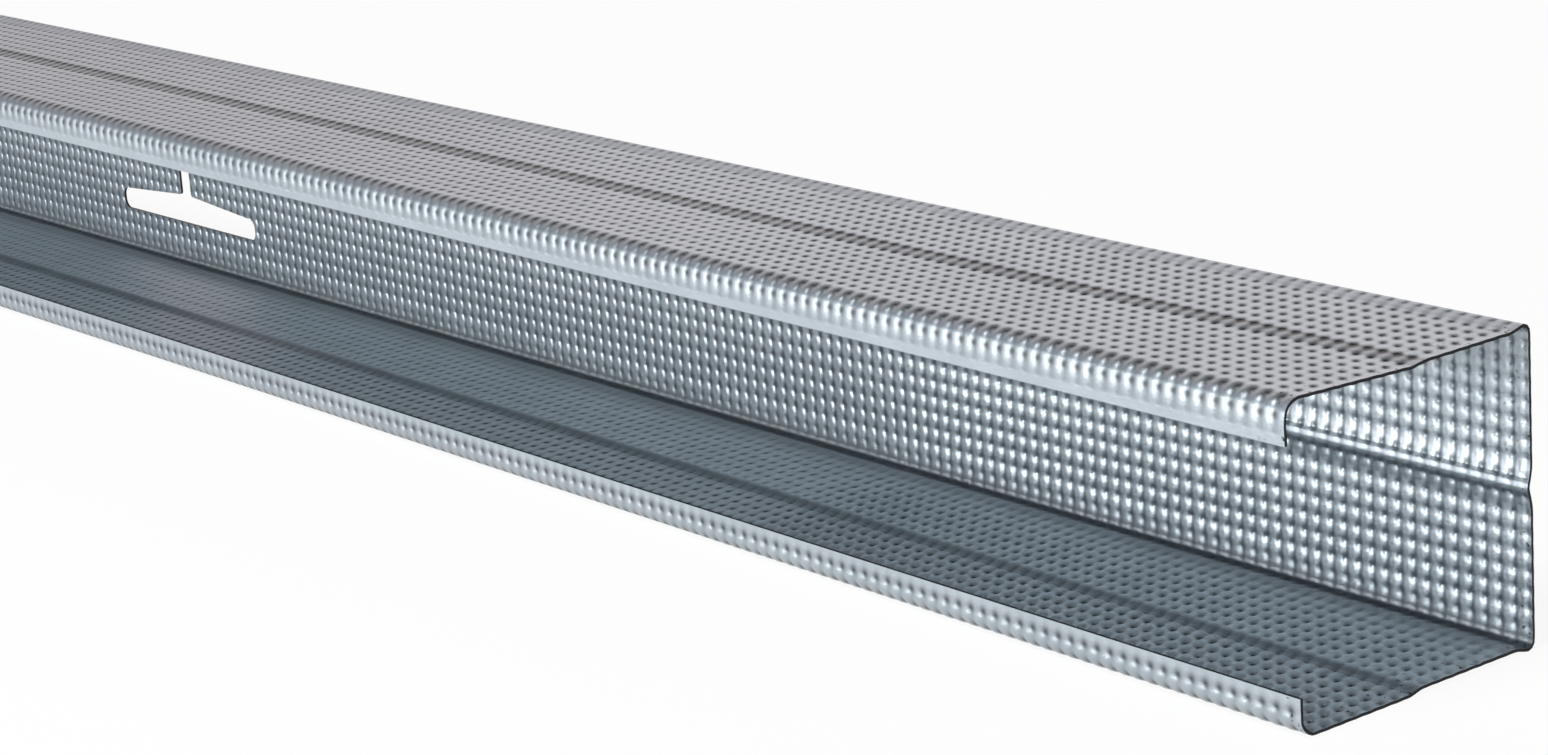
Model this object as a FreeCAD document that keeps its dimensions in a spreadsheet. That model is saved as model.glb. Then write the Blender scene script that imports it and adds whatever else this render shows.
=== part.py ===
# Lipped C-shaped wall stud, cold rolled from one strip of thin galvanised steel.
# X runs along the stud, the web stands upright at +Y and the open side faces -Y.
# The stud lies on its bottom flange, with the origin under the middle of its box.
import FreeCAD, Part
import math
import os
import Sketcher

NODE = "c_stud"

# Driving dimensions: millimetres, degrees for the one angle, and a plain count.
SIZES = [
    ("stud_length", "2600", "cut length"),
    ("web_height", "48.8", "overall height over the two web corners"),
    ("top_flange", "49.6", "overall width of the top flange"),
    ("bottom_flange", "48.2", "overall width of the narrower bottom flange"),
    ("sheet_gauge", "0.5", "thickness of the sheet"),
    ("top_lip", "6.7", "depth of the lip on the top flange"),
    ("bottom_lip", "6", "depth of the lip on the bottom flange"),
    ("lip_radius", "3", "outer radius of the bend between flange and lip"),
    ("corner_radius", "1.6", "outer radius of the bend between web and flange"),
    ("bead_angle", "16", "slope from the proud web corner down to the flange"),
    ("bead_height", "0.6", "how far the web corner stands proud of the flange"),
    ("fold_radius", "1.5", "outer radius of the shallow lengthwise folds"),
    ("crease_place", "24.3", "from the web's outer face to the crease in the top flange"),
    ("crease_depth", "1", "depth of that crease below the web corner"),
    ("step_place", "23.8", "from the web's outer face to the step in the bottom flange"),
    ("joggle_run", "2.6", "width over which either flange steps down"),
    ("rib_width", "5.6", "width of the lengthwise rib in the web"),
    ("rib_height", "0.7", "how far that rib stands into the channel"),
    ("slot_inset", "378", "from each end to the middle of the nearest slot"),
    ("slot_count", "5", "number of H-shaped service slots"),
    ("slot_length", "56", "length of a slot's two bars"),
    ("slot_spread", "29.6", "overall height of a slot over its two bars"),
    ("bar_end", "4.5", "height of a bar at its ends"),
    ("bar_middle", "6.3", "height of a bar where the stem meets it"),
    ("bar_radius", "1.9", "rounding of a bar's ends"),
    ("stem_width", "4.1", "width of the stem that joins the bars"),
    ("stem_radius", "0.8", "rounding where the stem meets a bar"),
]

doc = FreeCAD.newDocument("wall_stud")
sheet = doc.addObject("Spreadsheet::Sheet", "Sizes")
for row, (alias, value, meaning) in enumerate(SIZES, start=1):
    sheet.set(f"A{row}", meaning)
    sheet.set(f"B{row}", value)
    sheet.setAlias(f"B{row}", alias)
doc.recompute()


def draw_chain(sketch, corners, closed):
    """Draw straight runs between named corners, each inner corner rounded by a tangent arc.

    A corner is (name, x, y, radius), all three as expressions of the sheet. The corner itself is
    kept as a construction point that carries the dimensions, and the runs pass through it."""
    count = len(corners)
    points = []
    for name, x_text, y_text, radius_text in corners:
        points.append(FreeCAD.Vector(float(sketch.evalExpression(x_text)), float(sketch.evalExpression(y_text)), 0))
    rounded = range(count) if closed else range(1, count - 1)

    starts, ends, arcs = list(points), list(points), {}
    for k in rounded:
        radius = float(sketch.evalExpression(corners[k][3]))
        back = (points[k - 1] - points[k]).normalize()
        ahead = (points[(k + 1) % count] - points[k]).normalize()
        half_angle = back.getAngle(ahead) / 2
        reach = radius / math.tan(half_angle)
        ends[k] = points[k] + back * reach
        starts[k] = points[k] + ahead * reach
        centre = points[k] + (back + ahead).normalize() * (radius / math.sin(half_angle))
        turns_left = back.cross(ahead).z < 0
        first, last = (ends[k], starts[k]) if turns_left else (starts[k], ends[k])
        circle = Part.Circle(centre, FreeCAD.Vector(0, 0, 1), radius)
        arcs[k] = (Part.ArcOfCircle(circle, circle.parameter(first), circle.parameter(last)), turns_left)

    runs = {}
    for k in range(count if closed else count - 1):
        runs[k] = sketch.addGeometry(Part.LineSegment(starts[k], ends[(k + 1) % count]), False)

    for k, (name, x_text, y_text, radius_text) in enumerate(corners):
        corner = sketch.addGeometry(Part.Point(points[k]), True)
        for kind, axis_text, value in (("DistanceX", x_text, points[k].x), ("DistanceY", y_text, points[k].y)):
            number = sketch.addConstraint(Sketcher.Constraint(kind, -1, 1, corner, 1, value))
            label = name + ("_across" if kind == "DistanceX" else "_up")
            sketch.renameConstraint(number, label)
            sketch.setExpression("Constraints." + label, axis_text)
        before, after = runs.get((k - 1) % count if closed else k - 1), runs.get(k)
        if k not in arcs:
            run, end = (after, 1) if before is None else (before, 2)
            sketch.addConstraint(Sketcher.Constraint("Coincident", run, end, corner, 1))
            continue
        sketch.addConstraint(Sketcher.Constraint("PointOnObject", corner, 1, before))
        sketch.addConstraint(Sketcher.Constraint("PointOnObject", corner, 1, after))
        arc_shape, turns_left = arcs[k]
        arc = sketch.addGeometry(arc_shape, False)
        entry, leave = (1, 2) if turns_left else (2, 1)
        sketch.addConstraint(Sketcher.Constraint("Tangent", before, 2, arc, entry))
        sketch.addConstraint(Sketcher.Constraint("Tangent", arc, leave, after, 1))
        number = sketch.addConstraint(Sketcher.Constraint("Radius", arc, arc_shape.Radius))
        sketch.renameConstraint(number, name + "_radius")
        sketch.setExpression(f"Constraints.{name}_radius", radius_text)


# The outer face of the strip, drawn from the tip of the top lip round the web to the tip of the
# bottom lip. Sketch x is the distance from the web's outer face, sketch y the height.
# Both flanges step down by a joggle at mid width, so that two studs can be boxed together, and
# both web corners stand proud of the flanges as rounded beads.
corner_rise = "Sizes.corner_radius * ((1 + sin(Sizes.bead_angle)) / cos(Sizes.bead_angle) - 1)"
bead_foot = f"({corner_rise} + Sizes.bead_height) / tan(Sizes.bead_angle)"
middle = "Sizes.web_height / 2"
strip_corners = [
    ("top_lip_tip", "Sizes.top_flange", "Sizes.web_height - Sizes.top_lip", None),
    ("top_lip_bend", "Sizes.top_flange", "Sizes.web_height", "Sizes.lip_radius"),
    ("top_crease", "Sizes.crease_place", "Sizes.web_height - Sizes.crease_depth", "Sizes.fold_radius"),
    ("top_joggle", "Sizes.crease_place - Sizes.joggle_run", "Sizes.web_height - Sizes.bead_height", "Sizes.fold_radius"),
    ("top_bead", bead_foot, "Sizes.web_height - Sizes.bead_height", "Sizes.fold_radius"),
    ("top_corner", "0", f"Sizes.web_height + {corner_rise}", "Sizes.corner_radius"),
    ("rib_top", "0", f"{middle} + Sizes.rib_width / 2", "Sizes.fold_radius"),
    ("rib_crest", "Sizes.rib_height", middle, "Sizes.fold_radius"),
    ("rib_foot", "0", f"{middle} - Sizes.rib_width / 2", "Sizes.fold_radius"),
    ("bottom_corner", "0", f"-1 * {corner_rise}", "Sizes.corner_radius"),
    ("bottom_bead", bead_foot, "Sizes.bead_height", "Sizes.fold_radius"),
    ("bottom_joggle", "Sizes.step_place", "Sizes.bead_height", "Sizes.fold_radius"),
    ("bottom_step", "Sizes.step_place + Sizes.joggle_run", "0", "Sizes.fold_radius"),
    ("bottom_lip_bend", "Sizes.bottom_flange", "0", "Sizes.lip_radius"),
    ("bottom_lip_tip", "Sizes.bottom_flange", "Sizes.bottom_lip", None),
]
strip = doc.addObject("Sketcher::SketchObject", "strip_face")
strip.Placement.Rotation = FreeCAD.Rotation(
    FreeCAD.Vector(0, -1, 0), FreeCAD.Vector(0, 0, 1), FreeCAD.Vector(-1, 0, 0), "ZXY"
)
strip.setExpression("Placement.Base.x", "Sizes.stud_length / 2")
strip.setExpression("Placement.Base.y", "Sizes.top_flange / 2")
draw_chain(strip, strip_corners, closed=False)
doc.recompute()

# The sheet's thickness lies inside that outer face.
section = doc.addObject("Part::Offset2D", "section")
section.Source = strip
section.Mode = "Skin"
section.Join = "Arc"
section.Fill = True
section.setExpression("Value", "Sizes.sheet_gauge")
doc.recompute()

rolled = doc.addObject("Part::Extrusion", "rolled_strip")
rolled.Base = section
rolled.DirMode = "Custom"
rolled.Dir = FreeCAD.Vector(-1, 0, 0)
rolled.Solid = True
rolled.setExpression("LengthFwd", "Sizes.stud_length")
doc.recompute()

stud = doc.addObject("PartDesign::Body", NODE)
stud.Label = NODE
stud.BaseFeature = rolled
doc.recompute()

# One H-shaped slot through the web: two bars along the stud, tallest at the middle, and a stem.
bar_x = "Sizes.slot_length / 2"
bar_y = "Sizes.slot_spread / 2"
bar_end_y = f"({bar_y} - Sizes.bar_end)"
bar_middle_y = f"({bar_y} - Sizes.bar_middle)"
stem_x = "Sizes.stem_width / 2"
slot_corners = []
for quarter, x_sign, y_sign, outward in (("right_low", "1", "-1", False), ("right_high", "1", "1", True),
                                         ("left_high", "-1", "1", False), ("left_low", "-1", "-1", True)):
    corners = [
        (quarter + "_outer", f"{x_sign} * {bar_x}", f"{y_sign} * {bar_y}", "Sizes.bar_radius"),
        (quarter + "_inner", f"{x_sign} * {bar_x}", f"{y_sign} * {bar_end_y}", "Sizes.bar_radius"),
        (quarter + "_stem", f"{x_sign} * {stem_x}", f"{y_sign} * {bar_middle_y}", "Sizes.stem_radius"),
    ]
    slot_corners += reversed(corners) if outward else corners

slot = stud.newObject("Sketcher::SketchObject", "slot_outline")
upright_plane = [plane for plane in stud.Origin.OriginFeatures if plane.Role == "XZ_Plane"][0]
slot.AttachmentSupport = [(upright_plane, "")]
slot.MapMode = "FlatFace"
slot.setExpression("AttachmentOffset.Base.x", "Sizes.slot_inset - Sizes.stud_length / 2")
slot.setExpression("AttachmentOffset.Base.y", middle)
draw_chain(slot, slot_corners, closed=True)
doc.recompute()

first_slot = stud.newObject("PartDesign::Pocket", "first_slot")
first_slot.Profile = slot
first_slot.Type = "ThroughAll"
doc.recompute()

slots = stud.newObject("PartDesign::LinearPattern", "slots")
slots.Originals = [first_slot]
slots.Direction = (slot, ["H_Axis"])
slots.setExpression("Length", "Sizes.stud_length - 2 * Sizes.slot_inset")
slots.setExpression("Occurrences", "Sizes.slot_count")
stud.Tip = slots
doc.recompute()

for item in doc.Objects:
    if "Invalid" in item.State or "Error" in item.State:
        raise RuntimeError(f"{item.Label} did not recompute: {item.State}")
if stud.Shape.isNull() or not stud.Shape.isValid() or len(stud.Shape.Solids) != 1:
    raise RuntimeError(f"{stud.Label} is not one valid solid")

os.makedirs("parts", exist_ok=True)
stud.Shape.exportStep(f"parts/{stud.Label}.step")
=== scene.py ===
import math

import bpy
import numpy as np
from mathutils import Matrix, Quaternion, Vector


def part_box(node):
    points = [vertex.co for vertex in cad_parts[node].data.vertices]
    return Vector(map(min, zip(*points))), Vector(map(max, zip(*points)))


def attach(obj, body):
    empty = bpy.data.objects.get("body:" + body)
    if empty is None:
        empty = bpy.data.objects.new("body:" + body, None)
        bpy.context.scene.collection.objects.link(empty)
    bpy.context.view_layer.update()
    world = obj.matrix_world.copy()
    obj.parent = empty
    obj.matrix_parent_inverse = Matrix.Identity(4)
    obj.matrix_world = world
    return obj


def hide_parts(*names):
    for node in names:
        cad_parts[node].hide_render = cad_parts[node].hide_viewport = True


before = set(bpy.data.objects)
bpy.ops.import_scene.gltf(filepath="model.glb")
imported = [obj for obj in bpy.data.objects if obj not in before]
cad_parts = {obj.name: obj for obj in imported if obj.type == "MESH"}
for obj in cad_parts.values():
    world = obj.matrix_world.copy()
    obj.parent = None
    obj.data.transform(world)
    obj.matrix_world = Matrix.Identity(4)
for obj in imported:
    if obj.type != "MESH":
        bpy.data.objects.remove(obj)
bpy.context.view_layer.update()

# Stud: one strip of hot-dip galvanised steel, 0.5 mm thick, dimpled all over between two toothed
# rolls and then rolled cold into a lipped channel. A rib stiffens the web, both flanges step down
# along their middle, and the web's two corners stand proud as rounded beads.
MM = 0.001
low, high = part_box("c_stud")
stud_length = high[0] - low[0]
top_flange = high[1] - low[1]
web_height = high[2] - low[2]
flange_difference = 1.4 * MM
bottom_flange = top_flange - flange_difference
sheet_gauge = 0.5 * MM
top_lip = 6.7 * MM
bottom_lip = 6 * MM
lip_radius = 3 * MM
corner_radius = 1.6 * MM
fold_radius = 1.5 * MM
bead_angle = math.radians(16)
bead_height = 0.6 * MM
crease_place = 24.3 * MM
crease_depth = 1 * MM
step_place = 23.8 * MM
joggle_run = 2.6 * MM
rib_width = 5.6 * MM
rib_height = 0.7 * MM
arc_degrees = 5

# The outer face in section, from the top lip's edge round the web to the bottom lip's edge. A
# corner is its distance from the back of the web, its height, and the radius that rounds it.
corner_rise = corner_radius * ((1 + math.sin(bead_angle)) / math.cos(bead_angle) - 1)
bead_foot = (corner_rise + bead_height) / math.tan(bead_angle)
web_middle = web_height / 2
strip_corners = [
    (top_flange, web_height - top_lip, 0),
    (top_flange, web_height, lip_radius),
    (crease_place, web_height - crease_depth, fold_radius),
    (crease_place - joggle_run, web_height - bead_height, fold_radius),
    (bead_foot, web_height - bead_height, fold_radius),
    (0, web_height + corner_rise, corner_radius),
    (0, web_middle + rib_width / 2, fold_radius),
    (rib_height, web_middle, fold_radius),
    (0, web_middle - rib_width / 2, fold_radius),
    (0, -corner_rise, corner_radius),
    (bead_foot, bead_height, fold_radius),
    (step_place, bead_height, fold_radius),
    (step_place + joggle_run, 0, fold_radius),
    (bottom_flange, 0, lip_radius),
    (bottom_flange, bottom_lip, 0),
]


def rounded_line(corners, closed):
    """Points along straight runs between corners that are rounded by arcs, and their normals.

    The normals point to the right of the way along the line."""
    places = np.array([corner[:2] for corner in corners], float)
    ahead = np.roll(places, -1, axis=0) - places
    ahead /= np.linalg.norm(ahead, axis=1)[:, None]
    right = np.stack([ahead[:, 1], -ahead[:, 0]], axis=1)
    points, normals = [], []
    for k, (place, corner) in enumerate(zip(places, corners)):
        before, after = right[k - 1], right[k]
        if not closed and k == 0:
            before = after
        if not closed and k == len(corners) - 1:
            after = before
        turn = math.atan2(before[0] * after[1] - before[1] * after[0], before @ after)
        bulge = math.copysign(corner[2], turn)
        centre = place - bulge * (before + after) / (1 + before @ after)
        steps = max(2, math.ceil(abs(math.degrees(turn)) / arc_degrees))
        for part in np.linspace(0, 1, steps):
            cosine, sine = math.cos(part * turn), math.sin(part * turn)
            normal = np.array([
                before[0] * cosine - before[1] * sine,
                before[0] * sine + before[1] * cosine,
            ])
            points.append(centre + bulge * normal)
            normals.append(normal)
    return np.array(points), np.array(normals)


# The strip before it is rolled: a flat grid of points, four to a dimple each way over the first
# stretch from the sheared end, and only a few columns over the rest of the length.
pitch_along = 2.74 * MM
pitch_across = 2.83 * MM
points_per_dimple = 4
first_column = 0.7 * pitch_along
column_gap = pitch_along / points_per_dimple
row_gap = pitch_across / points_per_dimple
least_gap = row_gap / 3
relief_columns = 212
plain_columns = 7
land_height = 0.1 * MM

face_points, face_normals = rounded_line(strip_corners, closed=False)
middle_points = face_points - face_normals * (sheet_gauge / 2 + land_height)
runs = np.linalg.norm(np.diff(middle_points, axis=0), axis=1)
strip_places = np.concatenate([[0], np.cumsum(runs)])
strip_width = strip_places[-1]
web_reach = 2 * rib_height
on_web = face_points[:, 0] < web_reach
web_top, rib_crest, web_foot = np.interp(
    [-web_height, -web_middle, 0], -face_points[on_web, 1], strip_places[on_web]
)
rows = np.arange(rib_crest % row_gap, strip_width, row_gap)
rows = rows[(rows > least_gap) & (rows < strip_width - least_gap)]
rows = np.concatenate([[0], rows, [strip_width]])
columns = first_column % column_gap + np.arange(relief_columns) * column_gap
relief_end = columns[-1]
columns = np.concatenate([[0], columns, np.linspace(relief_end, stud_length, plain_columns + 1)[1:]])

row_count = len(rows)
top = np.arange(len(columns) * row_count).reshape(len(columns), row_count)
under = top + top.size
quads = [
    (top[:-1, :-1], top[1:, :-1], top[1:, 1:], top[:-1, 1:]),
    (under[:-1, :-1], under[:-1, 1:], under[1:, 1:], under[1:, :-1]),
    (top[0, :-1], top[0, 1:], under[0, 1:], under[0, :-1]),
    (top[-1, :-1], under[-1, :-1], under[-1, 1:], top[-1, 1:]),
    (top[:-1, 0], under[:-1, 0], under[1:, 0], top[1:, 0]),
    (top[:-1, -1], top[1:, -1], under[1:, -1], under[:-1, -1]),
]
flat_faces = np.concatenate([np.stack(sides, axis=-1).reshape(-1, 4) for sides in quads])
flat_along, flat_across = (grid.ravel() for grid in np.meshgrid(columns, rows, indexing="ij"))
half_gauge = np.full(flat_along.size, sheet_gauge / 2)
flat_points = np.concatenate([
    np.stack([flat_along, flat_across, half_gauge], axis=1),
    np.stack([flat_along, flat_across, -half_gauge], axis=1),
])
flat_mesh = bpy.data.meshes.new("flat_strip")
flat_mesh.from_pydata(flat_points, [], flat_faces.tolist())
stud = bpy.data.objects.new("c_stud_rolled", flat_mesh)
bpy.context.collection.objects.link(stud)

# Slots: five H-shaped holes for cables and pipes, punched through the web while the strip is flat.
# Each has two bars, tallest at their middle, and a short stem across the rib.
slot_inset = 378 * MM
slot_count = 5
slot_length = 56 * MM
slot_spread = 29.6 * MM
bar_end = 4.5 * MM
bar_middle = 6.3 * MM
bar_radius = 1.9 * MM
stem_width = 4.1 * MM
stem_radius = 0.8 * MM
quarter = [
    (slot_length / 2, slot_spread / 2, bar_radius),
    (slot_length / 2, slot_spread / 2 - bar_end, bar_radius),
    (stem_width / 2, slot_spread / 2 - bar_middle, stem_radius),
]
slot_corners = []
for x_sign, y_sign in ((1, 1), (-1, 1), (-1, -1), (1, -1)):
    mirrored = [(x_sign * x, y_sign * y, radius) for x, y, radius in quarter]
    slot_corners += mirrored[::-1] if x_sign == y_sign else mirrored
slot_outline = rounded_line(slot_corners, closed=True)[0]
outline_count = len(slot_outline)
punch_points, punch_faces = [], []
for slot_place in np.linspace(slot_inset, stud_length - slot_inset, slot_count):
    lower = len(punch_points)
    upper = lower + outline_count
    for punch_level in (-sheet_gauge, sheet_gauge):
        punch_points += [(slot_place + x, rib_crest + y, punch_level) for x, y in slot_outline]
    punch_faces.append([lower + k for k in reversed(range(outline_count))])
    punch_faces.append([upper + k for k in range(outline_count)])
    for k in range(outline_count):
        after = (k + 1) % outline_count
        punch_faces.append([lower + k, lower + after, upper + after, upper + k])
punch_mesh = bpy.data.meshes.new("slot_punch")
punch_mesh.from_pydata(punch_points, [], punch_faces)
punch = bpy.data.objects.new("slot_punch", punch_mesh)
bpy.context.collection.objects.link(punch)
punching = stud.modifiers.new("slots", "BOOLEAN")
punching.operation = "DIFFERENCE"
punching.solver = "MANIFOLD"
punching.object = punch
bpy.context.view_layer.update()
punched = stud.evaluated_get(bpy.context.evaluated_depsgraph_get())
stud_mesh = bpy.data.meshes.new_from_object(punched)
stud_mesh.name = "c_stud_rolled"
stud.modifiers.clear()
stud.data = stud_mesh
bpy.data.objects.remove(punch)
bpy.data.meshes.remove(punch_mesh)
bpy.data.meshes.remove(flat_mesh)

# Dimples: toothed rolls press the strip from both sides, on a square grid that runs on round every
# bend. A pit on one face is a pillow on the other. The outer face is flat land with small pits, the
# inner face a field of pillows that run together into columns, and so are the two lips.
pillow_height = 0.27 * MM
lip_height = 0.15 * MM
column_share = 0.72
land_share = 0.5
top_lip_run = 5 * MM
bottom_lip_run = 4 * MM
lip_blend = 4 * MM
plain_top_edge = 1.2 * MM
plain_bottom_edge = 0.1 * MM
edge_blend = pitch_across / 2
squashed_end = 2 * MM
relief_fade = 8 * pitch_along


def eased(value, start, end):
    """Rises smoothly from 0 at start to 1 at end."""
    part = np.clip((value - start) / (end - start), 0, 1)
    return part * part * (3 - 2 * part)


def between(first, second, share):
    """The value that lies the given share of the way from first to second."""
    return first + (second - first) * share


point_count = len(stud_mesh.vertices)
points = np.empty(point_count * 3, np.float32)
stud_mesh.vertices.foreach_get("co", points)
along, across, level = points.reshape(-1, 3).astype(float).T
side = np.sign(level)
outside = side > 0
on_lower_face = (face_points[:, 1] < web_middle) & (face_points[:, 0] > web_reach)
on_upper_face = (face_points[:, 1] > web_middle) & (face_points[:, 0] > web_reach)
bottom_step = np.interp(
    step_place + joggle_run / 2, face_points[on_lower_face, 0], strip_places[on_lower_face]
)
top_joggle = np.interp(
    joggle_run / 2 - crease_place, -face_points[on_upper_face, 0], strip_places[on_upper_face]
)
on_bottom_flange = across > web_foot
from_bottom_edge = strip_width - across
from_web_top = abs(across - web_top)
from_crest = abs(across - rib_crest)
from_web_foot = abs(across - web_foot)
from_step = abs(across - bottom_step)
from_joggle = abs(across - top_joggle)
on_lip = np.maximum(
    1 - eased(across, top_lip_run, top_lip_run + lip_blend),
    1 - eased(from_bottom_edge, bottom_lip_run, bottom_lip_run + lip_blend),
)

# The dimples stop short of the strip's two edges, and they are squashed in the tight bends and at
# the sheared end: the distance from such a place, the share of their height that is left there, and
# the distances at which they start to rise again and are whole.
strength = eased(across, plain_top_edge, plain_top_edge + edge_blend)
strength *= eased(from_bottom_edge, plain_bottom_edge, plain_bottom_edge + edge_blend)
squashed_places = [
    (from_web_top, 0.35, 0.5 * MM, 4.5 * MM),
    (from_web_foot, 0.4, 1 * MM, np.where(on_bottom_flange, 12 * MM, 7 * MM)),
    (from_step, 0.3, 0.8 * MM, 2.6 * MM),
    (from_crest, 0.3, 0.3 * MM, 1.6 * MM),
    (along, 0.5, 0, squashed_end),
]
for distance, height_left, rising, whole in squashed_places:
    strength *= between(height_left, 1, eased(distance, rising, whole))

outer_height = between(land_height, lip_height, on_lip)
outer_share = between(land_share, column_share, on_lip)
relief_height = np.where(outside, outer_height, pillow_height) * strength
relief_share = np.where(outside, outer_share, column_share)
column_height = relief_height * relief_share
row_height = relief_height * (1 - relief_share)
modelled = 1 - eased(along, relief_end - relief_fade, relief_end)
turn_along = 2 * math.pi / pitch_along
turn_across = 2 * math.pi / pitch_across
angle_along = (along - first_column) * turn_along
angle_across = (across - rib_crest) * turn_across
rise = -modelled * (column_height * np.cos(angle_along) + row_height * np.cos(angle_across))
off_end_face = along > column_gap / 10
slope_along = modelled * column_height * np.sin(angle_along) * turn_along * off_end_face
slope_across = modelled * row_height * np.sin(angle_across) * turn_across

# Pits: the small dents at the lowest points between the dimples, too small for the mesh, so that the
# material draws them, with painted shade in their colour. They are shallow on the lips and inside,
# and wide with darker painted shade in the row along the top flange's joggle. In the two folds of the
# bottom flange they run together into a band of painted shade.
outer_pit_depth = 0.4 * MM
inner_pit_depth = 0.12 * MM
lip_pit_depth = 0.12 * MM
lip_pit_shade = 0.8
lip_pit_tightness = 0.6
web_pit_shade = 0.3
rear_pit_shade = 0.55
front_pit_shade = 0.9
joggle_pit_start = 0.8 * MM
joggle_pit_end = 1.8 * MM
joggle_pit_depth = 0.6
joggle_pit_shade = 1.7
joggle_pit_tightness = 0.4
step_band_start = 0.6 * MM
step_band_end = 1.9 * MM
step_band_shade = 0.35

off_joggle = eased(from_joggle, joggle_pit_start, joggle_pit_end)
pit_height = np.where(outside, between(outer_pit_depth, lip_pit_depth, on_lip), inner_pit_depth)
pit_height *= strength * between(joggle_pit_depth, 1, off_joggle)
# The painted shade that darkens the pits' colour on each face, strongest in the joggle row.
inner_shade = np.where(across < bottom_step, rear_pit_shade, front_pit_shade)
inner_shade = np.where((across > web_top) & (across < web_foot), web_pit_shade, inner_shade)
pit_shade = np.where(outside, between(1, lip_pit_shade, on_lip), inner_shade)
pit_shade *= strength * between(joggle_pit_shade, 1, off_joggle)
pit_tightness = between(joggle_pit_tightness, 1, off_joggle)
pit_tightness *= between(1, lip_pit_tightness, on_lip * outside)
# Painted shade along the bottom flange's two folds: a dark band round the web's foot, wider on the flange
# side, and a narrower one along the step, where the pits run together.
foot_band_start = np.where(on_bottom_flange, 3.6 * MM, 0.4 * MM)
foot_band_end = np.where(on_bottom_flange, 12.5 * MM, 5.5 * MM)
foot_band_shade = np.where(on_bottom_flange, 0.42, 0.7)
foot_band = (1 - eased(from_web_foot, foot_band_start, foot_band_end)) * ~outside
step_band = (1 - eased(from_step, step_band_start, step_band_end)) * ~outside
pit_shade = np.max([pit_shade, foot_band_shade * foot_band, step_band_shade * step_band], axis=0)
pit_tightness *= 1 - np.maximum(foot_band, step_band)

# Rolling: every point of the flat strip goes to its place round the section, moved by its dimple's
# rise, and half the sheet's thickness along the dimpled sheet's own normal.
back, up, normal_back, normal_up = (
    np.interp(across, strip_places, values)
    for values in (middle_points[:, 0], middle_points[:, 1], face_normals[:, 0], face_normals[:, 1])
)
normal_length = np.hypot(normal_back, normal_up)
normal_back /= normal_length
normal_up /= normal_length
outward = np.stack([np.zeros(point_count), -normal_back, normal_up], axis=1)
onward = np.stack([np.zeros(point_count), normal_up, normal_back], axis=1)
tilted = outward - slope_across[:, None] * onward
tilted[:, 0] += slope_along
tilted /= np.linalg.norm(tilted, axis=1)[:, None]
rolled = np.stack([high[0] - along, high[1] - back, low[2] + up], axis=1)
rolled += outward * rise[:, None] + tilted * level[:, None]
stud_mesh.vertices.foreach_set("co", rolled.ravel())
stud_mesh.flip_normals()

# What the material needs to carry the dimples on: how far round the strip a point lies, the heights
# of columns, rows, pillows and pits there, how much painted shade darkens the pits and how tight they
# are, and how much of the columns and rows is left to bump, which draws them flatter because it casts
# no shadow. The heights of columns and rows count as negative on the inside face.
inner_bump_share = 0.45
outer_bump_share = 0.9
bump_share = np.where(outside, outer_bump_share, inner_bump_share)
carried = {
    "strip_place": across,
    "column_height": column_height * side,
    "row_height": row_height * side,
    "pillow_height": relief_height * ~outside,
    "pit_height": pit_height,
    "pit_shade": pit_shade,
    "pit_tightness": pit_tightness,
    "waves_left": bump_share * (1 - modelled),
}
for name, values in carried.items():
    stud_mesh.attributes.new(name, "FLOAT", "POINT").data.foreach_set("value", values)

# The sheared and punched edges show the bare steel between the two coats, with sharp borders. They
# are the faces whose corners don't all lie on one side of the sheet.
loop_points = np.empty(len(stud_mesh.loops), np.int32)
loop_edges = np.empty(len(stud_mesh.loops), np.int32)
face_sizes = np.empty(len(stud_mesh.polygons), np.int32)
edge_points = np.empty(len(stud_mesh.edges) * 2, np.int32)
stud_mesh.loops.foreach_get("vertex_index", loop_points)
stud_mesh.loops.foreach_get("edge_index", loop_edges)
stud_mesh.polygons.foreach_get("loop_total", face_sizes)
stud_mesh.edges.foreach_get("vertices", edge_points)
face_starts = np.concatenate([[0], np.cumsum(face_sizes)[:-1]])
face_sides = np.add.reduceat(side[loop_points], face_starts)
sheared = abs(face_sides) < face_sizes
loop_sheared = np.repeat(sheared, face_sizes)
edge_sides = side[edge_points].reshape(-1, 2)
sharp = np.zeros(len(stud_mesh.edges), bool)
sharp[loop_edges[loop_sheared]] = True
sharp &= edge_sides[:, 0] == edge_sides[:, 1]
stud_mesh.shade_smooth()
stud_mesh.edges.foreach_set("use_edge_sharp", sharp)
stud_mesh.update()
polygon_normals = np.empty(len(stud_mesh.polygons) * 3, np.float32)
stud_mesh.polygons.foreach_get("normal", polygon_normals)
sheared_normals = np.repeat(polygon_normals.reshape(-1, 3), face_sizes, axis=0)
sheet_normals = (tilted * side[:, None])[loop_points]
stud_mesh.normals_split_custom_set(np.where(loop_sheared[:, None], sheared_normals, sheet_normals))

# Hot-dip galvanised steel: a zinc coat that froze on the strip and was then crushed matt by the
# rolls. It gives the eye a pale, slightly blue metal with a fine grain in its highlights, and a few
# specks of dirt where the shear crushed it at the near end. Its pits and folds are darkened by painted
# shade. The real grain is under a tenth of a millimetre, and it is drawn coarser so that it shows.
zinc_pale = "#BEC7CD"
zinc_dull = "#A8B2B9"
zinc_roughness = 0.42
pillow_sharpness = 0.85
pit_sharpness = 2.4
pit_shade_colour = "#101012"
grain_size = 0.35 * MM
grain_depth = 0.04 * MM
patch_size = 9 * MM
speck_size = 0.9 * MM
speck_reach = 7 * MM
speck_start = 0.66
speck_end = 0.72
speck_colour = "#2B2019"


def linear(hex_colour):
    """The linear RGBA of an sRGB hex colour."""
    values = [int(hex_colour[k:k + 2], 16) / 255 for k in (1, 3, 5)]
    return [v / 12.92 if v <= 0.04045 else ((v + 0.055) / 1.055) ** 2.4 for v in values] + [1]


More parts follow.
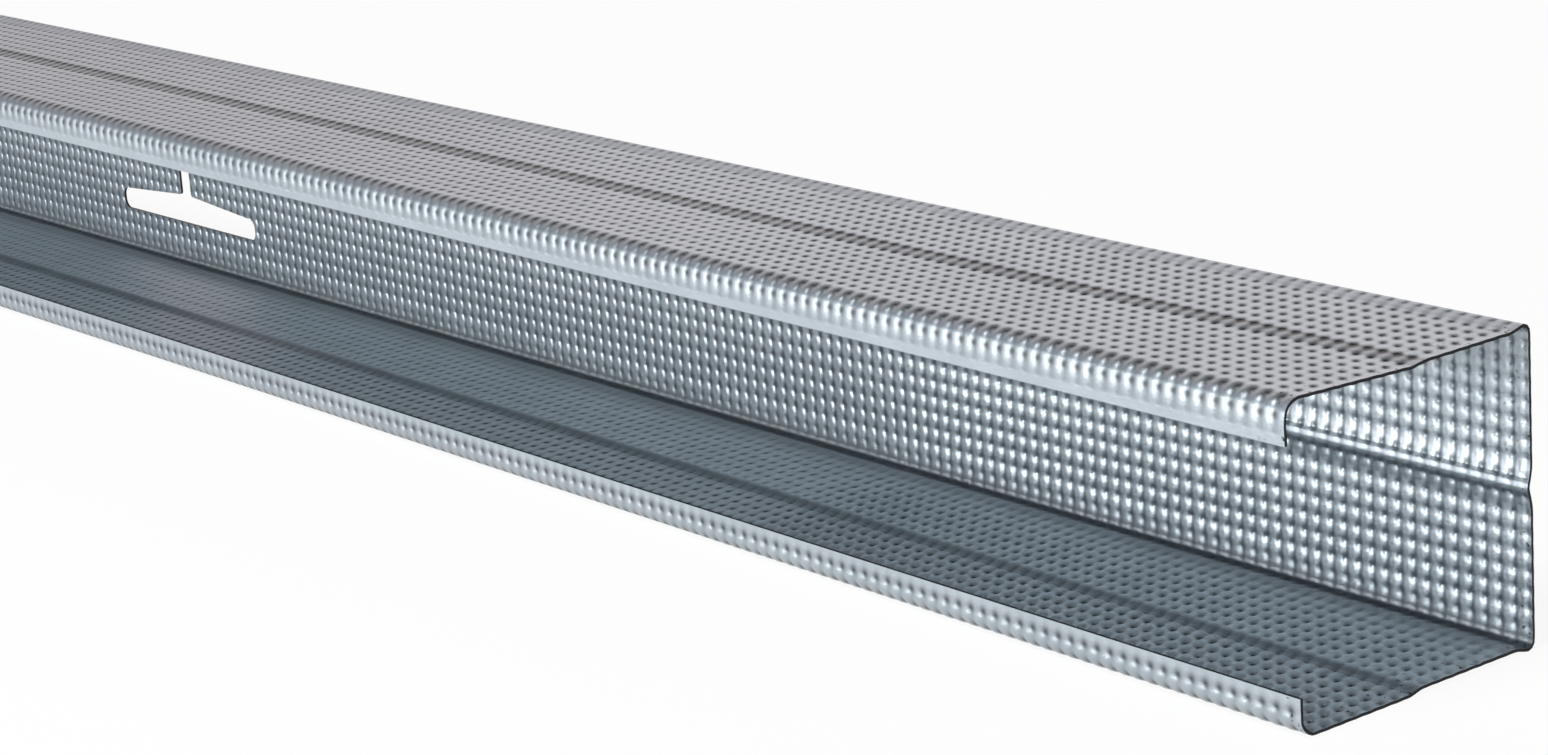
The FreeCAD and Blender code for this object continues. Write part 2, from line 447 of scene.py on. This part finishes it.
def add_node(tree, kind, inputs, **settings):
    """A node of that kind with its settings, and each input set to a value or linked to a socket."""
    made = tree.nodes.new(kind)
    for name, value in settings.items():
        setattr(made, name, value)
    for socket, value in inputs.items():
        if isinstance(value, bpy.types.NodeSocket):
            tree.links.new(value, made.inputs[socket])
        else:
            made.inputs[socket].default_value = value
    return made


galvanised = bpy.data.materials.new("galvanised_steel")
galvanised.use_nodes = True
tree = galvanised.node_tree
tree.nodes.clear()
on_stud = add_node(tree, "ShaderNodeTexCoord", {}).outputs["Object"]
along_stud = add_node(tree, "ShaderNodeSeparateXYZ", {0: on_stud}).outputs[0]
round_strip, column_rise, row_rise, pillow_rise, pit_fall, painted_pit_shade, pit_tight, share_left = (
    add_node(tree, "ShaderNodeAttribute", {}, attribute_name=name).outputs["Fac"] for name in carried
)
column_turn = add_node(
    tree, "ShaderNodeMath",
    {0: along_stud, 1: turn_along, 2: -(high[0] - first_column) * turn_along}, operation="MULTIPLY_ADD",
).outputs[0]
row_turn = add_node(
    tree, "ShaderNodeMath",
    {0: round_strip, 1: turn_across, 2: -rib_crest * turn_across}, operation="MULTIPLY_ADD",
).outputs[0]
column_wave = add_node(tree, "ShaderNodeMath", {0: column_turn}, operation="COSINE").outputs[0]
row_wave = add_node(tree, "ShaderNodeMath", {0: row_turn}, operation="COSINE").outputs[0]

# The columns and rows that the mesh leaves out.
row_part = add_node(tree, "ShaderNodeMath", {0: row_wave, 1: row_rise}, operation="MULTIPLY").outputs[0]
waves = add_node(
    tree, "ShaderNodeMath", {0: column_wave, 1: column_rise, 2: row_part}, operation="MULTIPLY_ADD",
).outputs[0]
waves_left = add_node(tree, "ShaderNodeMath", {0: waves, 1: share_left}, operation="MULTIPLY").outputs[0]

# The gaps that make pillows of the inside's round waves: wider tops and narrower valleys.
row_weight = add_node(
    tree, "ShaderNodeMath", {0: row_wave, 1: 1 - column_share}, operation="MULTIPLY",
).outputs[0]
weave = add_node(
    tree, "ShaderNodeMath", {0: column_wave, 1: column_share, 2: row_weight}, operation="MULTIPLY_ADD",
).outputs[0]
swell_power = add_node(
    tree, "ShaderNodeMath", {0: weave, 1: -pillow_sharpness}, operation="MULTIPLY",
).outputs[0]
swollen = add_node(tree, "ShaderNodeMath", {0: swell_power}, operation="EXPONENT").outputs[0]
gap = add_node(
    tree, "ShaderNodeMath",
    {0: swollen, 1: 1 / math.sinh(pillow_sharpness), 2: weave}, operation="MULTIPLY_ADD",
).outputs[0]
gaps_and_waves = add_node(
    tree, "ShaderNodeMath", {0: gap, 1: pillow_rise, 2: waves_left}, operation="MULTIPLY_ADD",
).outputs[0]

# The pits, where both waves are lowest as seen from that face.
face = add_node(tree, "ShaderNodeMath", {0: column_rise}, operation="SIGN").outputs[0]
both_waves = add_node(tree, "ShaderNodeMath", {0: column_wave, 1: row_wave}, operation="ADD").outputs[0]
face_waves = add_node(tree, "ShaderNodeMath", {0: both_waves, 1: face}, operation="MULTIPLY").outputs[0]
pit_power = add_node(
    tree, "ShaderNodeMath",
    {0: face_waves, 1: pit_sharpness / 2, 2: -pit_sharpness}, operation="MULTIPLY_ADD",
).outputs[0]
pit_reach = add_node(tree, "ShaderNodeMath", {0: pit_power, 1: pit_tight}, operation="MULTIPLY").outputs[0]
pit = add_node(tree, "ShaderNodeMath", {0: pit_reach}, operation="EXPONENT").outputs[0]
sunk = add_node(
    tree, "ShaderNodeMath", {0: pit, 1: pit_fall, 2: gaps_and_waves}, operation="MULTIPLY_ADD",
).outputs[0]
depth = add_node(tree, "ShaderNodeMath", {0: sunk, 1: -1}, operation="MULTIPLY").outputs[0]
dimples = add_node(tree, "ShaderNodeBump", {"Height": depth, "Distance": 1, "Strength": 1}).outputs[0]

# The zinc's grain and its duller patches, the painted shade in the pits and folds, and the specks of dirt.
grain = add_node(
    tree, "ShaderNodeTexNoise", {"Vector": on_stud, "Scale": 1 / grain_size, "Detail": 2},
).outputs[0]
grained = add_node(
    tree, "ShaderNodeBump", {"Height": grain, "Distance": grain_depth, "Strength": 1, "Normal": dimples},
).outputs[0]
patch = add_node(
    tree, "ShaderNodeTexNoise", {"Vector": on_stud, "Scale": 1 / patch_size, "Detail": 4},
).outputs[0]
tone = add_node(
    tree, "ShaderNodeMixRGB", {"Fac": patch, "Color1": linear(zinc_dull), "Color2": linear(zinc_pale)},
).outputs[0]
shaded = add_node(tree, "ShaderNodeMath", {0: pit, 1: painted_pit_shade}, operation="MULTIPLY").outputs[0]
shaded_tone = add_node(
    tree, "ShaderNodeMixRGB", {"Fac": shaded, "Color1": tone, "Color2": linear(pit_shade_colour)},
).outputs[0]
near_end = add_node(
    tree, "ShaderNodeMapRange",
    {"Value": along_stud, "From Min": high[0] - speck_reach, "From Max": high[0]},
).outputs[0]
specks = add_node(
    tree, "ShaderNodeTexNoise", {"Vector": on_stud, "Scale": 1 / speck_size, "Detail": 1},
).outputs[0]
speck = add_node(
    tree, "ShaderNodeMapRange", {"Value": specks, "From Min": speck_start, "From Max": speck_end},
).outputs[0]
dirt = add_node(tree, "ShaderNodeMath", {0: speck, 1: near_end}, operation="MULTIPLY").outputs[0]
shade_and_dirt_tone = add_node(
    tree, "ShaderNodeMixRGB", {"Fac": dirt, "Color1": shaded_tone, "Color2": linear(speck_colour)},
).outputs[0]
zinc = add_node(
    tree, "ShaderNodeBsdfPrincipled",
    {"Base Color": shade_and_dirt_tone, "Metallic": 1, "Roughness": zinc_roughness, "Normal": grained},
).outputs[0]
add_node(tree, "ShaderNodeOutputMaterial", {"Surface": zinc})

# Sheared steel: the bare core of the sheet, torn dull and dark where the shear or punch went through.
bare_colour = "#2E2F32"
bare_roughness = 0.55
sheared_steel = bpy.data.materials.new("sheared_steel")
sheared_steel.use_nodes = True
edge_tree = sheared_steel.node_tree
edge_tree.nodes.clear()
bare = add_node(
    edge_tree, "ShaderNodeBsdfPrincipled",
    {"Base Color": linear(bare_colour), "Metallic": 1, "Roughness": bare_roughness},
).outputs[0]
add_node(edge_tree, "ShaderNodeOutputMaterial", {"Surface": bare})
stud_mesh.materials.clear()
stud_mesh.materials.append(galvanised)
stud_mesh.materials.append(sheared_steel)
stud_mesh.polygons.foreach_set("material_index", sheared.astype(np.int32))

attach(stud, "root")
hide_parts("c_stud")

# Floor: a wide sheet of matt white board that the stud lies on. What the camera and reflections see
# of it is mostly a plain white, so that the background stays white without more light.
floor_reach = 30
board_colour = "#F4F4F4"
plain_white = "#FFFFFF"
plain_share = 0.9
floor_mesh = bpy.data.meshes.new("floor")
floor_corners = [(x * floor_reach, y * floor_reach, 0) for x, y in ((-1, -1), (1, -1), (1, 1), (-1, 1))]
floor_mesh.from_pydata(floor_corners, [], [(0, 1, 2, 3)])
floor = bpy.data.objects.new("floor", floor_mesh)
bpy.context.collection.objects.link(floor)
board = bpy.data.materials.new("white_board")
board.use_nodes = True
board_tree = board.node_tree
board_tree.nodes.clear()
matt = add_node(board_tree, "ShaderNodeBsdfDiffuse", {"Color": linear(board_colour)}).outputs[0]
glow = add_node(
    board_tree, "ShaderNodeEmission", {"Color": linear(plain_white), "Strength": 1},
).outputs[0]
ray = add_node(board_tree, "ShaderNodeLightPath", {}).outputs
seen = add_node(
    board_tree, "ShaderNodeMath",
    {0: ray["Is Camera Ray"], 1: ray["Is Glossy Ray"]}, operation="MAXIMUM",
).outputs[0]
seen_through = add_node(
    board_tree, "ShaderNodeMath", {0: seen, 1: ray["Is Transmission Ray"]}, operation="MAXIMUM",
).outputs[0]
plain = add_node(
    board_tree, "ShaderNodeMath", {0: seen_through, 1: plain_share}, operation="MULTIPLY",
).outputs[0]
mixed = add_node(board_tree, "ShaderNodeMixShader", {0: plain, 1: matt, 2: glow}).outputs[0]
add_node(board_tree, "ShaderNodeOutputMaterial", {"Surface": mixed})
floor_mesh.materials.append(board)

# Camera: low and close to the sheared end, looking along the stud from its open side.
aim = Vector((1158.4, -0.2, 21.5)) * MM
azimuth = math.radians(52.39)
elevation = math.radians(15.45)
roll = math.radians(-4.02)
aim_distance = 634.8 * MM
lens_pixels = 3815
image_width = 1548
sight = Vector((
    -math.sin(azimuth) * math.cos(elevation),
    math.cos(azimuth) * math.cos(elevation),
    -math.sin(elevation),
))
camera_data = bpy.data.cameras.new("camera")
camera_data.sensor_fit = "HORIZONTAL"
camera_data.sensor_width = 36
camera_data.lens = camera_data.sensor_width * lens_pixels / image_width
camera_data.clip_start = 0.01
camera = bpy.data.objects.new("camera", camera_data)
camera.location = aim - sight * aim_distance
camera.rotation_mode = "QUATERNION"
camera.rotation_quaternion = sight.to_track_quat("-Z", "Y") @ Quaternion((0, 0, 1), roll)
bpy.context.collection.objects.link(camera)
bpy.context.scene.camera = camera

# Light: a room that is pale behind the stud, dimmer in front and dark overhead. A soft panel stands
# low in front of the sheared end, a wide dim one beside it along the open side, another behind the
# web, and a soft lamp hangs high in front.
back_wall = "#FAEEEE"
front_wall = "#878F95"
ceiling = "#1E1E20"
wall_blend = 0.4
ceiling_start = 0.55
ceiling_end = 0.8
world = bpy.data.worlds.new("studio")
world.use_nodes = True
bpy.context.scene.world = world
room = world.node_tree
room.nodes.clear()
direction = add_node(room, "ShaderNodeTexCoord", {}).outputs["Generated"]
heading = add_node(room, "ShaderNodeSeparateXYZ", {0: direction}).outputs
behind = add_node(
    room, "ShaderNodeMapRange", {"Value": heading[1], "From Min": -wall_blend, "From Max": wall_blend},
).outputs[0]
overhead = add_node(
    room, "ShaderNodeMapRange", {"Value": heading[2], "From Min": ceiling_start, "From Max": ceiling_end},
).outputs[0]
walls = add_node(
    room, "ShaderNodeMixRGB", {"Fac": behind, "Color1": linear(front_wall), "Color2": linear(back_wall)},
).outputs[0]
whole_room = add_node(
    room, "ShaderNodeMixRGB", {"Fac": overhead, "Color1": walls, "Color2": linear(ceiling)},
).outputs[0]
glowing = add_node(room, "ShaderNodeBackground", {"Color": whole_room, "Strength": 1}).outputs[0]
add_node(room, "ShaderNodeOutputWorld", {"Surface": glowing})

# A lamp is its name, its place, the point it faces, its width and height in metres, and its watts.
lamps = [
    ("front_panel", (1.15, -1.5, 0.22), (1.2, 0, 0.02), (1.3, 0.4), 15),
    ("fill_panel", (-0.3, -1.6, 0.3), (0.6, 0, 0.02), (2.4, 0.5), 8),
    ("back_panel", (-0.3, 1.9, 1.1), (1.2, 0, 0.05), (1.8, 1.6), 3.4),
    ("high_lamp", (1.3, -1.2, 2.2), (1.2, 0, 0.02), (0.8, 0.8), 45),
]
for lamp_name, lamp_place, lamp_aim, (lamp_width, lamp_height), power in lamps:
    lamp_data = bpy.data.lights.new(lamp_name, "AREA")
    lamp_data.shape = "RECTANGLE"
    lamp_data.size = lamp_width
    lamp_data.size_y = lamp_height
    lamp_data.energy = power
    lamp = bpy.data.objects.new(lamp_name, lamp_data)
    lamp.location = lamp_place
    lamp.rotation_mode = "QUATERNION"
    lamp.rotation_quaternion = (Vector(lamp_aim) - Vector(lamp_place)).to_track_quat("-Z", "Y")
    bpy.context.collection.objects.link(lamp)
bpy.context.scene.view_settings.view_transform = "Standard"
